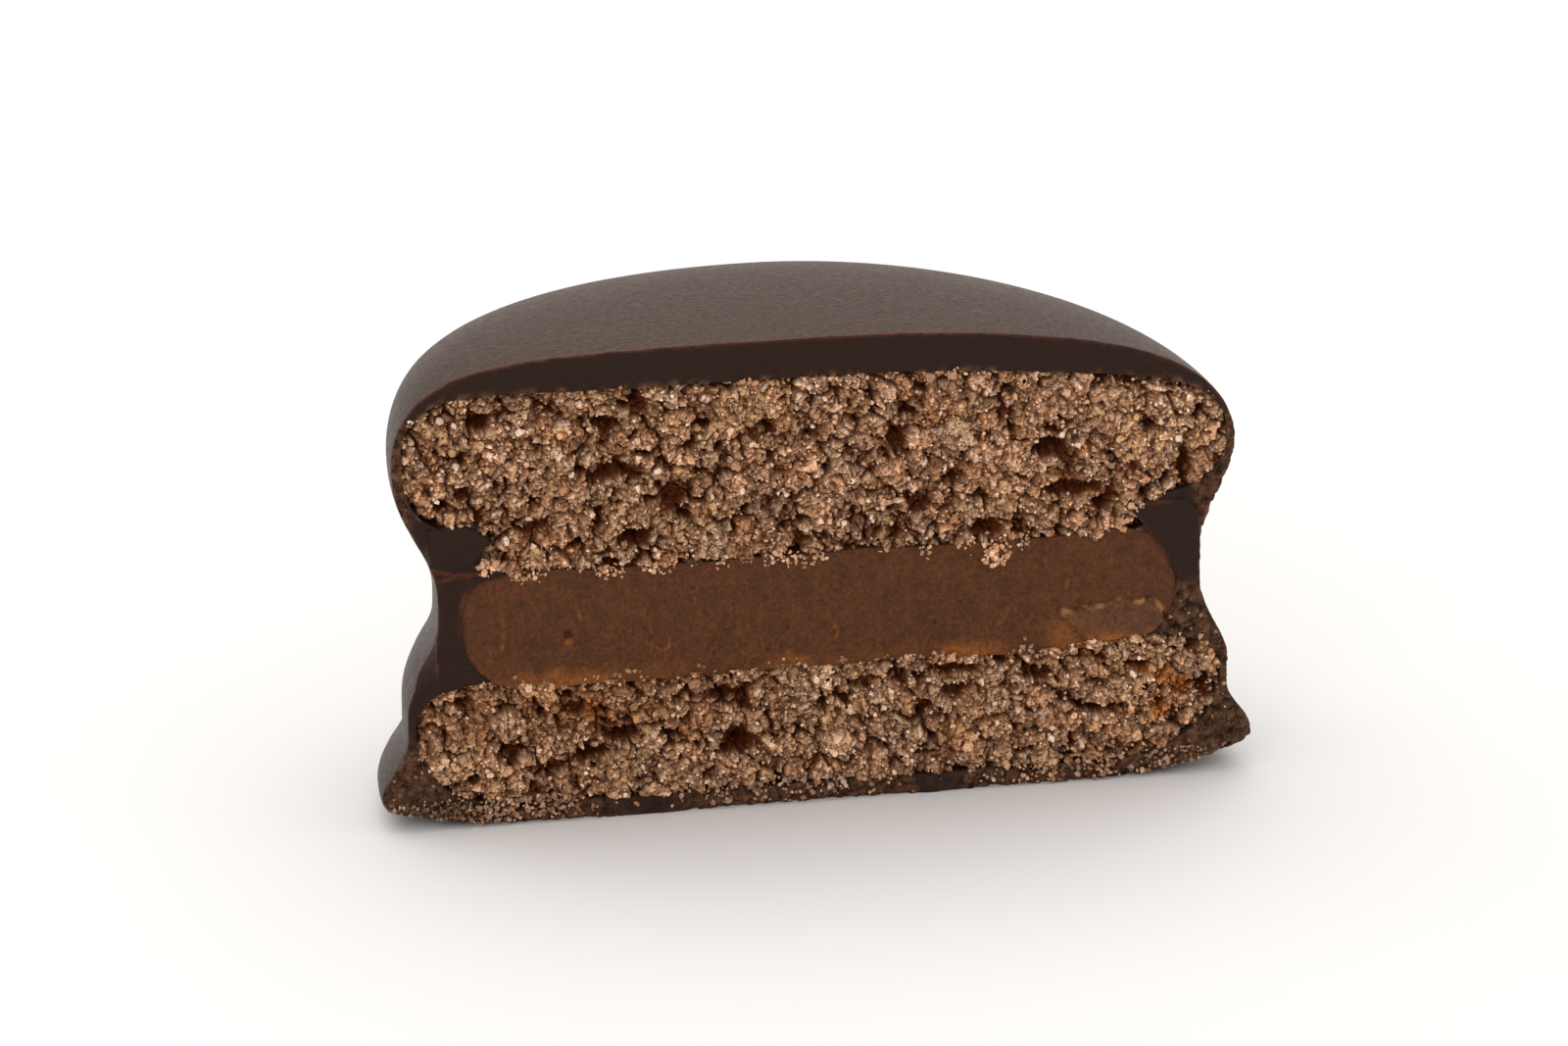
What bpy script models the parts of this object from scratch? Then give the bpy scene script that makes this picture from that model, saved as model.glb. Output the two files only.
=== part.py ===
"""Half of a chocolate-coated alfajor, cut through its middle: dulce de leche between two cocoa biscuits.

Metres, +Z up. X runs along the cut face, which looks along -Y, and the flat base stands on z = 0.
"""

import math

import bmesh
import bpy
from mathutils import Vector, noise

MM = 0.001

# Driving dimensions of the whole biscuit that the half was cut from
FOOT_RADIUS = 31.0 * MM
DOME_RADIUS = 29.7 * MM
WAIST_RADIUS = 27.0 * MM
HEIGHT = 34.0 * MM
BASE_COAT = 1.7 * MM
BOTTOM_BISCUIT = 8.3 * MM
FILLING = 7.7 * MM
TOP_BISCUIT = 12.7 * MM
FIT_GAP = 0.3 * MM

# How the half lies about its origin, which is at the middle of its box, on the floor
AXIS_Y = -15.2 * MM
CUT_OFF_AXIS = 0.35 * MM
CUT_Y = AXIS_Y - CUT_OFF_AXIS
CRUMB_PROUD = 0.25 * MM

# Heights of the layers
BOTTOM_FLOOR = BASE_COAT
BOTTOM_TOP = BOTTOM_FLOOR + BOTTOM_BISCUIT
FILLING_FLOOR = BOTTOM_TOP + FIT_GAP
FILLING_TOP = FILLING_FLOOR + FILLING
TOP_FLOOR = FILLING_TOP + FIT_GAP
TOP_TOP = TOP_FLOOR + TOP_BISCUIT

# How far the hand-made shape strays from a turned one, and between which heights it does
TOP_SLOPE = 1.4 * MM
TOP_SLOPE_BAND = (18.0 * MM, 31.0 * MM)
DOME_SHIFT = 0.3 * MM
DOME_SHIFT_BAND = (18.0 * MM, 24.0 * MM)
FOOT_LIFT_RIGHT = 2.2 * MM
FOOT_LIFT_LEFT = 1.5 * MM
FOOT_LIFT_FROM = 20.0 * MM
FOOT_LIFT_FADES_AT = 12.0 * MM
SKIRT_FOLD = 0.45 * MM
SKIRT_FOLD_RISES = (2.0 * MM, 6.0 * MM)
SKIRT_FOLD_FADES = (15.0 * MM, 20.0 * MM)
SKIRT_FOLD_PITCH = 2.2 * MM
SKIRT_DEPTH = 2.0 * MM
LAYER_WAVE = 0.35 * MM
LAYER_WAVE_LENGTH = 6.0 * MM
LAYER_WAVE_REACH = 2.0 * MM

# Relief of the torn crumb on the cut
CELL = 0.78 * MM
CLUMP_SIZE = 2.6 * MM
CREVICE_WIDTH = 0.16
CREVICE_DEPTH = 0.75 * MM
LUMP_SIZE = 3.4 * MM
LUMP_DEPTH = 0.5 * MM
GRAIN_SIZE = 1.6 * MM
GRAIN_DEPTH = 0.45 * MM
CRUMB_MEAN = 0.15 * MM
FILLING_CELL = 1.6 * MM
FILLING_RELIEF = 0.07 * MM
FILLING_SINK = 0.12 * MM
FILLING_DRAG = (2.4 * MM, 5.0 * MM)

# Pits that the knife tore in the crumb: x, z, half width, half height and depth, in millimetres
TOP_PITS = (
    (11.5, 19.8, 1.6, 1.0, 1.3),
    (16.6, 21.8, 2.2, 0.8, 1.4),
    (16.3, 24.8, 1.4, 0.8, 1.1),
    (27.6, 24.6, 0.8, 2.2, 1.4),
    (-15.6, 28.6, 1.2, 0.7, 0.9),
    (-14.8, 25.4, 1.8, 0.7, 1.1),
    (-10.0, 22.3, 0.9, 1.6, 1.2),
    (-12.4, 19.9, 1.6, 0.7, 1.1),
    (-26.2, 23.6, 1.6, 0.8, 1.2),
    (5.2, 26.0, 0.9, 0.7, 0.9),
)
BOTTOM_PITS = (
    (-21.1, 4.8, 1.5, 0.7, 1.1),
    (-16.0, 4.5, 1.9, 0.8, 1.3),
    (-6.3, 4.6, 1.3, 1.1, 1.4),
    (-13.0, 6.1, 1.0, 0.6, 0.9),
    (-6.9, 8.4, 1.8, 0.6, 1.1),
    (10.3, 7.3, 1.9, 0.9, 1.1),
    (21.8, 6.4, 1.2, 0.7, 0.9),
)

TURN_STEPS = 56
SHARP_ANGLE = math.radians(40.0)
CUTTER_REACH = 40.0 * MM
CUTTER_MARGIN = 1.06
COLLECTION = "Alfajor half"
CUTTERS = "Cutters"


def clear_scene():
    for found in list(bpy.data.objects):
        bpy.data.objects.remove(found, do_unlink=True)
    for found in list(bpy.data.collections):
        bpy.data.collections.remove(found)


def new_collection(name):
    made = bpy.data.collections.new(name)
    bpy.context.scene.collection.children.link(made)
    return made


def finish_material(name, colour, roughness, coat=0.0):
    material = bpy.data.materials.new(name)
    material.use_nodes = True
    shader = material.node_tree.nodes["Principled BSDF"]
    shader.inputs["Base Color"].default_value = (*colour, 1.0)
    shader.inputs["Roughness"].default_value = roughness
    shader.inputs["Coat Weight"].default_value = coat
    material.diffuse_color = (*colour, 1.0)
    return material


def smooth_step(low, high, value):
    share = min(max((value - low) / (high - low), 0.0), 1.0)
    return share * share * (3.0 - 2.0 * share)


def outer_outline():
    """Right half of the coated biscuit's section, from the dome's top down to the middle of the base."""
    crown = HEIGHT
    dome = DOME_RADIUS
    waist = WAIST_RADIUS
    foot = FOOT_RADIUS
    return [
        (0.0, crown),
        (5.0 * MM, crown - 0.03 * MM),
        (10.0 * MM, crown - 0.18 * MM),
        (15.0 * MM, crown - 0.48 * MM),
        (19.5 * MM, crown - 0.95 * MM),
        (23.0 * MM, crown - 1.65 * MM),
        (25.4 * MM, crown - 2.45 * MM),
        (27.2 * MM, crown - 3.5 * MM),
        (28.5 * MM, crown - 4.75 * MM),
        (dome - 0.4 * MM, crown - 6.2 * MM),
        (dome, crown - 7.9 * MM),
        (dome - 0.05 * MM, crown - 9.6 * MM),
        (dome - 0.45 * MM, crown - 11.2 * MM),
        (dome - 1.25 * MM, crown - 12.9 * MM),
        (waist + 0.65 * MM, crown - 14.5 * MM),
        (waist + 0.1 * MM, crown - 16.2 * MM),
        (waist, crown - 18.2 * MM),
        (waist + 0.15 * MM, crown - 20.1 * MM),
        (waist + 0.75 * MM, crown - 21.9 * MM),
        (waist + 1.6 * MM, crown - 23.5 * MM),
        (waist + 2.15 * MM, crown - 25.1 * MM),
        (waist + 2.2 * MM, crown - 26.9 * MM),
        (waist + 2.25 * MM, 5.2 * MM),
        (foot - 1.1 * MM, 3.6 * MM),
        (foot - 0.35 * MM, 2.1 * MM),
        (foot, 0.9 * MM),
        (foot - 0.1 * MM, 0.35 * MM),
        (foot - 0.6 * MM, 0.0),
        (26.0 * MM, 0.0),
        (20.0 * MM, 0.0),
        (0.0, 0.0),
    ]


def top_biscuit_outline():
    edge = DOME_RADIUS - 0.9 * MM
    return [
        (0.0, TOP_TOP),
        (10.0 * MM, TOP_TOP - 0.2 * MM),
        (18.0 * MM, TOP_TOP - 0.5 * MM),
        (23.5 * MM, TOP_TOP - 0.85 * MM),
        (edge - 2.6 * MM, TOP_TOP - 1.35 * MM),
        (edge - 1.1 * MM, TOP_TOP - 2.2 * MM),
        (edge - 0.15 * MM, TOP_TOP - 3.6 * MM),
        (edge, TOP_TOP - 5.4 * MM),
        (edge - 0.25 * MM, TOP_TOP - 7.0 * MM),
        (edge - 1.1 * MM, TOP_TOP - 8.3 * MM),
        (edge - 2.6 * MM, TOP_TOP - 9.1 * MM),
        (edge - 4.5 * MM, TOP_FLOOR + 3.0 * MM),
        (edge - 5.5 * MM, TOP_FLOOR + 2.1 * MM),
        (edge - 5.9 * MM, TOP_FLOOR + 0.9 * MM),
        (edge - 7.2 * MM, TOP_FLOOR + 0.1 * MM),
        (16.0 * MM, TOP_FLOOR),
        (8.0 * MM, TOP_FLOOR),
        (0.0, TOP_FLOOR),
    ]


def filling_outline():
    edge = WAIST_RADIUS - 2.0 * MM
    middle = (FILLING_FLOOR + FILLING_TOP) / 2
    return [
        (0.0, FILLING_TOP),
        (8.0 * MM, FILLING_TOP),
        (16.0 * MM, FILLING_TOP),
        (edge - 2.2 * MM, FILLING_TOP - 0.05 * MM),
        (edge - 0.8 * MM, FILLING_TOP - 0.5 * MM),
        (edge - 0.15 * MM, FILLING_TOP - 1.6 * MM),
        (edge, middle),
        (edge - 0.35 * MM, FILLING_FLOOR + 2.1 * MM),
        (edge - 1.5 * MM, FILLING_FLOOR + 0.7 * MM),
        (edge - 3.3 * MM, FILLING_FLOOR + 0.05 * MM),
        (16.0 * MM, FILLING_FLOOR),
        (8.0 * MM, FILLING_FLOOR),
        (0.0, FILLING_FLOOR),
    ]


def bottom_biscuit_outline():
    edge = WAIST_RADIUS + 1.35 * MM
    return [
        (0.0, BOTTOM_TOP),
        (8.0 * MM, BOTTOM_TOP),
        (16.0 * MM, BOTTOM_TOP),
        (edge - 2.6 * MM, BOTTOM_TOP - 0.1 * MM),
        (edge - 0.9 * MM, BOTTOM_TOP - 0.75 * MM),
        (edge - 0.1 * MM, BOTTOM_TOP - 2.0 * MM),
        (edge, BOTTOM_TOP - 3.6 * MM),
        (edge - 0.5 * MM, BOTTOM_FLOOR + 2.6 * MM),
        (edge - 1.8 * MM, BOTTOM_FLOOR + 1.1 * MM),
        (edge - 4.2 * MM, BOTTOM_FLOOR + 0.25 * MM),
        (18.0 * MM, BOTTOM_FLOOR),
        (9.0 * MM, BOTTOM_FLOOR),
        (0.0, BOTTOM_FLOOR),
    ]


def grown(outline, distance):
    """The outline moved outwards by distance, square to its own run; its ends stay on the axis."""
    moved = []
    for index, (radius, height) in enumerate(outline):
        before = outline[max(index - 1, 0)]
        after = outline[min(index + 1, len(outline) - 1)]
        run = Vector((after[0] - before[0], after[1] - before[1])).normalized()
        outward = Vector((-run.y, run.x))
        on_axis = index in (0, len(outline) - 1)
        moved_radius = 0.0 if on_axis else radius + outward.x * distance
        moved.append((moved_radius, height + outward.y * distance))
    return moved


def hollow_outline():
    """The room in the coating: one outline round the biscuits and the filling, a gap's width from each."""
    top = grown(top_biscuit_outline(), FIT_GAP)
    filling = grown(filling_outline(), FIT_GAP)
    bottom = grown(bottom_biscuit_outline(), FIT_GAP)
    inset = 0.2 * MM
    points = [point for point in top if point[1] > TOP_FLOOR + inset]
    points += [p for p in filling if FILLING_FLOOR + inset < p[1] < FILLING_TOP - inset]
    points += [point for point in bottom if point[1] < BOTTOM_TOP + 0.8 * FIT_GAP]
    return points


def unevenness(place):
    """Where a point of the turned shape ends up in the hand-made one. The axis is at x = y = 0 here."""
    x, y, z = place
    radius = math.hypot(x, y)
    slope = x * abs(x) / DOME_RADIUS**2
    x_moved = x - DOME_SHIFT * smooth_step(*DOME_SHIFT_BAND, z)
    z_moved = z - TOP_SLOPE * slope * smooth_step(*TOP_SLOPE_BAND, z)

    # Both ends of the foot curl up from the surface that it set on, the right one more
    past = max(0.0, (abs(x) - FOOT_LIFT_FROM) / (FOOT_RADIUS - FOOT_LIFT_FROM))
    lift = FOOT_LIFT_RIGHT if x > 0.0 else FOOT_LIFT_LEFT
    z_moved += lift * past**2 * (1.0 - smooth_step(0.0, FOOT_LIFT_FADES_AT, z))

    # Soft folds run round the skirt between the foot and the waist
    inner = WAIST_RADIUS - SKIRT_DEPTH
    if radius > inner:
        turn = math.atan2(y, x)
        band = smooth_step(*SKIRT_FOLD_RISES, z) * (1.0 - smooth_step(*SKIRT_FOLD_FADES, z))
        fold = math.sin(3.0 * turn + 0.9) * math.cos(z / SKIRT_FOLD_PITCH + 1.4 * math.sin(turn))
        strength = band * smooth_step(inner, WAIST_RADIUS, radius) * math.sin(turn)
        change = 1.0 + SKIRT_FOLD * fold * strength / radius
        x_moved *= change
        y *= change

    # Where a biscuit lies on the filling, the line between them waves
    for height in (BOTTOM_TOP, FILLING_TOP):
        nearness = math.exp(-(((z - height) / LAYER_WAVE_REACH) ** 2))
        wave = noise.noise(Vector((x, y, height)) / LAYER_WAVE_LENGTH)
        z_moved += LAYER_WAVE * nearness * wave
    return x_moved, y + AXIS_Y, z_moved


def turned(name, outline, collection):
    """A solid turned from its outline about the middle of the biscuit, then made uneven."""
    profile = bpy.data.meshes.new(name + " profile")
    points = [(radius, 0.0, height) for radius, height in outline]
    profile.from_pydata(points, [(i, i + 1) for i in range(len(points) - 1)], [])
    spinner = bpy.data.objects.new(name, profile)
    collection.objects.link(spinner)
    screw = spinner.modifiers.new("Turn", "SCREW")
    screw.axis = "Z"
    screw.angle = math.tau
    screw.steps = TURN_STEPS
    screw.render_steps = TURN_STEPS
    screw.use_merge_vertices = True
    screw.merge_threshold = 0.01 * MM
    bpy.context.view_layer.update()
    evaluated = spinner.evaluated_get(bpy.context.evaluated_depsgraph_get())
    mesh = bpy.data.meshes.new_from_object(evaluated)
    spinner.modifiers.clear()
    spinner.data = mesh
    bpy.data.meshes.remove(profile)
    mesh.name = name
    for vertex in mesh.vertices:
        vertex.co = unevenness(vertex.co)
    mesh.shade_smooth()
    mesh.set_sharp_from_angle(angle=SHARP_ANGLE)
    return spinner


def crumb_depth(x, z, pits):
    """How far the torn crumb lies behind its foremost point, at one place on the cut."""
    place = Vector((x, 0.0, z))
    nearest, second = noise.voronoi(place / CLUMP_SIZE)[0][:2]
    depth = CRUMB_MEAN + CREVICE_DEPTH * math.exp(-(((second - nearest) / CREVICE_WIDTH) ** 2))
    depth += LUMP_DEPTH * noise.noise(place / LUMP_SIZE)
    depth += GRAIN_DEPTH * noise.noise(place / GRAIN_SIZE + Vector((0.0, 7.3, 0.0)))
    depth = max(depth, 0.0)
    for pit_x, pit_z, half_width, half_height, pit_depth in pits:
        across = (x / MM - pit_x) / half_width
        up = (z / MM - pit_z) / half_height
        depth += pit_depth * MM * math.exp(-(across**2 + up**2))
    return depth


def filling_depth(x, z):
    """The knife leaves the filling nearly flat, with shallow drag marks."""
    drag = noise.noise(Vector((x / FILLING_DRAG[0], 3.1, z / FILLING_DRAG[1])))
    return FILLING_SINK + FILLING_RELIEF * drag


def relief_block(name, low, high, cell, front_y, depth_at, collection):
    """A block that removes all in front of the relief. Its near side is far in front of the biscuit."""
    half_width = DOME_RADIUS * CUTTER_MARGIN
    columns = round(2 * half_width / cell)
    rows = round((high - low) / cell)
    body = bmesh.new()
    bmesh.ops.create_grid(body, x_segments=columns, y_segments=rows, size=1.0)
    for vertex in body.verts:
        x = vertex.co.x * half_width
        z = low + (vertex.co.y + 1.0) / 2 * (high - low)
        vertex.co = (x, front_y + depth_at(x, z), z)
    pushed = bmesh.ops.extrude_face_region(body, geom=body.faces[:])
    for vertex in pushed["geom"]:
        if isinstance(vertex, bmesh.types.BMVert):
            vertex.co.y = front_y - CUTTER_REACH
    bmesh.ops.recalc_face_normals(body, faces=body.faces)
    return cutter_from(body, name, collection)


def front_block(name, collection):
    """A plain block that removes all in front of the knife's plane."""
    side = 100.0 * MM
    body = bmesh.new()
    bmesh.ops.create_cube(body, size=side)
    bmesh.ops.translate(body, verts=body.verts, vec=(0.0, CUT_Y - side / 2, 0.0))
    return cutter_from(body, name, collection)


def cutter_from(body, name, collection):
    mesh = bpy.data.meshes.new(name)
    body.to_mesh(mesh)
    body.free()
    block = bpy.data.objects.new(name, mesh)
    collection.objects.link(block)
    hide_cutter(block)
    return block


def hide_cutter(cutter):
    cutter.hide_render = True
    cutter.display_type = "WIRE"


def cut(solid, cutter):
    difference = solid.modifiers.new("Cut by " + cutter.name, "BOOLEAN")
    difference.operation = "DIFFERENCE"
    difference.solver = "EXACT"
    difference.object = cutter


def make_biscuit(name, outline, pits, floor, top, material, parts, cutters):
    biscuit = turned(name, outline, parts)
    biscuit.data.materials.append(material)
    margin = 2.0 * MM
    block = relief_block(
        name + "_crumb",
        floor - margin,
        top + margin,
        CELL,
        CUT_Y - CRUMB_PROUD,
        lambda x, z: crumb_depth(x, z, pits),
        cutters,
    )
    cut(biscuit, block)
    return biscuit


def make_filling(material, parts, cutters):
    filling = turned("dulce_de_leche", filling_outline(), parts)
    filling.data.materials.append(material)
    margin = 1.5 * MM
    block = relief_block(
        "filling_knife_marks",
        FILLING_FLOOR - margin,
        FILLING_TOP + margin,
        FILLING_CELL,
        CUT_Y,
        filling_depth,
        cutters,
    )
    cut(filling, block)
    return filling


def make_coating(material, parts, cutters):
    coating = turned("chocolate_coating", outer_outline(), parts)
    coating.data.materials.append(material)
    room = turned("room_in_coating", hollow_outline(), cutters)
    hide_cutter(room)
    cut(coating, room)
    cut(coating, front_block("knife_plane", cutters))
    return coating


def main():
    clear_scene()
    parts = new_collection(COLLECTION)
    cutters = new_collection(CUTTERS)
    chocolate = finish_material("dark chocolate", (0.035, 0.022, 0.018), 0.38, coat=0.15)
    crumb = finish_material("cocoa biscuit", (0.30, 0.18, 0.12), 0.9)
    caramel = finish_material("dulce de leche", (0.095, 0.042, 0.020), 0.45)

    make_coating(chocolate, parts, cutters)
    make_biscuit(
        "top_biscuit", top_biscuit_outline(), TOP_PITS, TOP_FLOOR, TOP_TOP, crumb, parts, cutters
    )
    make_filling(caramel, parts, cutters)
    make_biscuit(
        "bottom_biscuit",
        bottom_biscuit_outline(),
        BOTTOM_PITS,
        BOTTOM_FLOOR,
        BOTTOM_TOP,
        crumb,
        parts,
        cutters,
    )


main()
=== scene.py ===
"""Looks of the alfajor half: coating, torn biscuit crumb and dulce de leche, on a plain pale floor."""

import math

import bmesh
import bpy
import numpy as np
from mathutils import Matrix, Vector, noise


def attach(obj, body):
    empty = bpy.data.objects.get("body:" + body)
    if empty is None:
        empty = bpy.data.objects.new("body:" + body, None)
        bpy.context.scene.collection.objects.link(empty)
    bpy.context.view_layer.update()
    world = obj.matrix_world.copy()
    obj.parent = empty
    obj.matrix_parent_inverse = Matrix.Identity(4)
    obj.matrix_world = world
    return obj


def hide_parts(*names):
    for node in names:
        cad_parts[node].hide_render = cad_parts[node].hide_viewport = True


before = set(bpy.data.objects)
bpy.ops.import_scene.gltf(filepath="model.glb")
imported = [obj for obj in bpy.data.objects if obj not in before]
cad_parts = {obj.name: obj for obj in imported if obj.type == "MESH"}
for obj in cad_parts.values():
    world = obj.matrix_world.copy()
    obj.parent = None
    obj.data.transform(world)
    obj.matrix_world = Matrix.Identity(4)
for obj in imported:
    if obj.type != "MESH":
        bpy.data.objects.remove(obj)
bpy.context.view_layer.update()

MM = 0.001

# Driving dimensions, the same as the solids'
FOOT_RADIUS = 31.0 * MM
DOME_RADIUS = 29.7 * MM
WAIST_RADIUS = 27.0 * MM
FILLING_RADIUS = WAIST_RADIUS - 2.0 * MM
HEIGHT = 34.0 * MM
BASE_COAT = 1.7 * MM
BOTTOM_BISCUIT = 8.3 * MM
FILLING = 7.7 * MM
TOP_BISCUIT = 12.7 * MM
FIT_GAP = 0.3 * MM
SHOWN_GAP = 0.03 * MM
AXIS_Y = -15.2 * MM
CUT_Y = AXIS_Y - 0.35 * MM
CRUMB_FRONT = CUT_Y - 0.25 * MM

BOTTOM_FLOOR = BASE_COAT
BOTTOM_TOP = BOTTOM_FLOOR + BOTTOM_BISCUIT
FILLING_FLOOR = BOTTOM_TOP + FIT_GAP
FILLING_TOP = FILLING_FLOOR + FILLING
TOP_FLOOR = FILLING_TOP + FIT_GAP
TOP_TOP = TOP_FLOOR + TOP_BISCUIT

# Steps round the turned shapes and along their outlines, and cells of the grids on the cut
COAT_STEPS = 288
INNER_STEPS = 96
OUTLINE_STEP = 0.5 * MM
CRUMB_CELL = 0.1 * MM
FILLING_CELL = 0.12 * MM
COAT_CELL = 0.14 * MM
BLOCK_FRONT = -60.0 * MM

# How the hand-made shape departs from the turned one, as in the solids
DOME_SHIFT = 0.3 * MM
DOME_LEAN = 1.4 * MM
LEFT_LIFT = 1.5 * MM
RIGHT_LIFT = 2.2 * MM
LIFT_START = 20.0 * MM
FOLD_DEPTH = 0.45 * MM
WAVE_DEPTH = 0.35 * MM

# First seed of each biscuit's noise and grains
TOP_SEED = 101
BOTTOM_SEED = 202

# Pits that the knife tore in the crumb: x, z, half width, half height and depth, in millimetres
TOP_PITS = (
    (11.7, 19.2, 1.3, 0.7, 1.3), (19.9, 20.6, 0.8, 0.45, 1.1), (17.4, 21.7, 2.2, 0.6, 1.4),
    (16.3, 24.8, 1.4, 0.7, 1.1), (6.9, 21.5, 0.6, 0.9, 1.0), (25.8, 22.8, 0.45, 1.5, 1.4),
    (-15.1, 28.6, 1.0, 0.6, 1.0), (-12.7, 29.6, 0.5, 0.3, 0.8), (-14.9, 25.2, 1.8, 0.6, 1.1),
    (-10.3, 22.8, 0.9, 1.3, 1.3), (-12.8, 20.3, 1.3, 0.6, 1.2), (-20.2, 21.7, 0.9, 0.6, 1.0),
    (-20.0, 23.5, 0.5, 0.4, 0.8), (-26.6, 23.5, 0.7, 0.25, 1.0), (-26.8, 28.0, 0.6, 0.5, 0.8),
    (-24.0, 29.3, 0.8, 0.4, 0.8), (5.2, 26.0, 0.9, 0.6, 0.9),
)
BOTTOM_PITS = (
    (-21.9, 5.2, 1.2, 0.5, 1.1), (-16.2, 4.7, 1.6, 0.4, 1.3), (-6.0, 4.7, 1.0, 0.9, 1.4),
    (-14.1, 6.0, 1.1, 0.5, 1.1), (-7.1, 8.4, 1.4, 0.5, 1.1), (9.6, 9.0, 1.8, 0.45, 1.1),
    (9.3, 7.4, 0.9, 0.5, 1.0), (15.6, 8.2, 1.5, 0.6, 1.2), (20.6, 5.3, 1.2, 0.35, 0.9),
    (22.8, 8.4, 0.8, 0.4, 1.0), (27.6, 6.4, 0.6, 0.9, 1.2),
)


# Shape of the turned layers

def millimetres(*pairs):
    return np.array(pairs) * MM


def smooth_step(low, high, value):
    share = np.clip((value - low) / (high - low), 0.0, 1.0)
    return share * share * (3.0 - 2.0 * share)


def rise(low, high, value):
    """A smooth step up between two lengths in millimetres."""
    return smooth_step(low * MM, high * MM, value)


def fall(low, high, value):
    """A smooth step down between two lengths in millimetres."""
    return 1.0 - rise(low, high, value)


def bell(value, width, power=2):
    """One where the value is 0, fading away beyond the width."""
    return np.exp(-((value / width) ** power))


def outer_outline():
    """Right half of the coated biscuit's section, from the dome's top down to the middle of the base."""
    crown, dome, waist, foot = (length / MM for length in (HEIGHT, DOME_RADIUS, WAIST_RADIUS, FOOT_RADIUS))
    return millimetres(
        (0.0, crown), (5.0, crown - 0.03), (10.0, crown - 0.18), (15.0, crown - 0.48),
        (19.5, crown - 0.95), (23.0, crown - 1.65), (25.4, crown - 2.45), (27.2, crown - 3.5),
        (28.5, crown - 4.75), (dome - 0.4, crown - 6.2), (dome, crown - 7.9),
        (dome - 0.05, crown - 9.6), (dome - 0.45, crown - 11.2), (dome - 1.25, crown - 12.9),
        (waist + 0.65, crown - 14.5), (waist + 0.1, crown - 16.2), (waist, crown - 18.2),
        (waist + 0.15, crown - 20.1), (waist + 0.75, crown - 21.9), (waist + 1.6, crown - 23.5),
        (waist + 2.15, crown - 25.1), (waist + 2.2, crown - 26.9), (waist + 2.25, 5.2),
        (foot - 1.1, 3.6), (foot - 0.35, 2.1), (foot, 0.9), (foot - 0.1, 0.35), (foot - 0.6, 0.0),
        (26.0, 0.0), (20.0, 0.0), (0.0, 0.0),
    )


def top_biscuit_outline():
    edge = DOME_RADIUS / MM - 0.9
    top = TOP_TOP / MM
    floor = TOP_FLOOR / MM
    return millimetres(
        (0.0, top), (10.0, top - 0.2), (18.0, top - 0.5), (23.5, top - 0.85),
        (edge - 2.6, top - 1.35), (edge - 1.1, top - 2.2), (edge - 0.15, top - 3.6),
        (edge, top - 5.4), (edge - 0.25, top - 7.0), (edge - 1.1, top - 8.3),
        (edge - 2.6, top - 9.1), (edge - 4.5, floor + 3.0), (edge - 5.5, floor + 2.1),
        (edge - 5.9, floor + 0.9), (edge - 7.2, floor + 0.1), (16.0, floor), (8.0, floor),
        (0.0, floor),
    )


def filling_outline():
    edge = FILLING_RADIUS / MM
    top = FILLING_TOP / MM
    floor = FILLING_FLOOR / MM
    return millimetres(
        (0.0, top), (8.0, top), (16.0, top), (edge - 2.2, top - 0.05), (edge - 0.8, top - 0.5),
        (edge - 0.15, top - 1.6), (edge, (floor + top) / 2), (edge - 0.35, floor + 2.1),
        (edge - 1.5, floor + 0.7), (edge - 3.3, floor + 0.05), (16.0, floor), (8.0, floor),
        (0.0, floor),
    )


def bottom_biscuit_outline():
    edge = WAIST_RADIUS / MM + 1.35
    top = BOTTOM_TOP / MM
    floor = BOTTOM_FLOOR / MM
    return millimetres(
        (0.0, top), (8.0, top), (16.0, top), (edge - 2.6, top - 0.1), (edge - 0.9, top - 0.75),
        (edge - 0.1, top - 2.0), (edge, top - 3.6), (edge - 0.5, floor + 2.6),
        (edge - 1.8, floor + 1.1), (edge - 4.2, floor + 0.25), (18.0, floor), (9.0, floor),
        (0.0, floor),
    )


def grown(outline, distance):
    """The outline moved outwards by distance, square to its own run; its ends stay on the axis."""
    points = np.array(outline)
    run = np.gradient(points, axis=0)
    run /= np.linalg.norm(run, axis=1)[:, None]
    moved = points + distance * np.column_stack([-run[:, 1], run[:, 0]])
    moved[[0, -1], 0] = 0.0
    return moved


def smooth_outline(points):
    """The outline as a smooth curve through its points, with a point about every OUTLINE_STEP."""
    corners = np.array(points)
    runs = np.linalg.norm(np.diff(corners, axis=0), axis=1)
    along = np.concatenate([[0.0], np.cumsum(runs)])
    slopes = np.gradient(corners, along, axis=0)
    samples = np.linspace(0.0, along[-1], round(along[-1] / OUTLINE_STEP))
    part = np.clip(np.searchsorted(along, samples, side="right") - 1, 0, len(runs) - 1)
    length = runs[part][:, None]
    t = ((samples - along[part]) / runs[part])[:, None]
    curve = (2 * t**3 - 3 * t**2 + 1) * corners[part] + (t**3 - 2 * t**2 + t) * length * slopes[part]
    curve += (3 * t**2 - 2 * t**3) * corners[part + 1] + (t**3 - t**2) * length * slopes[part + 1]
    curve[:, 0] = np.clip(curve[:, 0], 0.0, FOOT_RADIUS)
    curve[:, 1] = np.clip(curve[:, 1], 0.0, HEIGHT)
    return curve


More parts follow.
